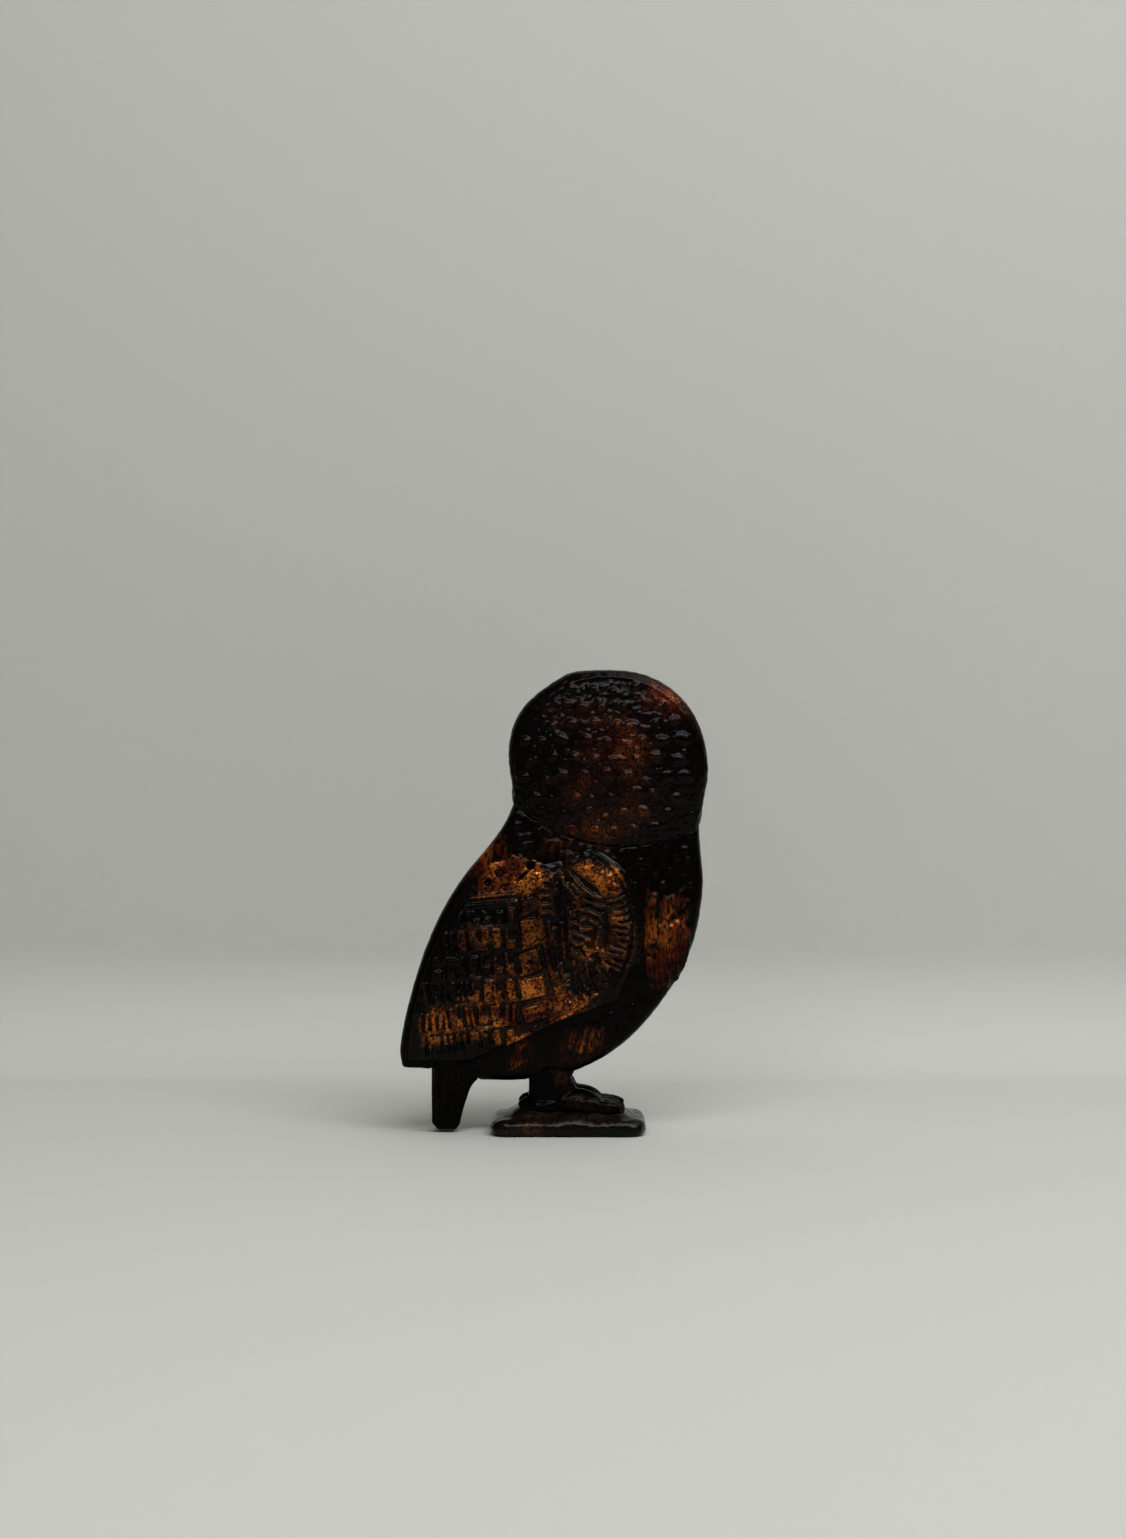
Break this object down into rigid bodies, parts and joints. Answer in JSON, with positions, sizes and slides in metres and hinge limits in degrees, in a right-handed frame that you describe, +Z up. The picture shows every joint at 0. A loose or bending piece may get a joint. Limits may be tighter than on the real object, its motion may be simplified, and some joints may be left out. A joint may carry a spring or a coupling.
{
  "type": "owl figurine",
  "caption": "Small patinated cast-metal owl in profile with its head turned aside, standing on a rounded plinth: knobbed head, feathered wings and a tail that nearly touches the ground.",
  "frame": {"origin": "centre of the plinth's underside", "axes": "+Z up, +X the way the owl's body faces, -Y out of its right flank; the face is on the +Y side of the head"},
  "size_m": [0.0533, 0.0187, 0.08],
  "materials": {
    "dark_bronze_plinth": "dark waxed patina, rubbed through to copper colour on the high relief",
    "dark_bronze": "dark waxed patina, rubbed through to copper colour on the high relief",
    "rubbed_bronze": "dark waxed patina, rubbed through to copper colour on the high relief",
    "rubbed_bronze_wing": "dark waxed patina, rubbed through to copper colour on the high relief",
    "studded_bronze": "dark waxed patina, rubbed through to copper colour on the high relief"
  },
  "bodies": {
    "root": {"plinth": "dark_bronze_plinth", "right_leg": "dark_bronze", "left_leg": "dark_bronze", "body": "rubbed_bronze", "tail": "dark_bronze", "right_wing": "rubbed_bronze_wing", "left_wing": "rubbed_bronze_wing", "head": "studded_bronze", "face": "studded_bronze"}
  },
  "joints": []
}
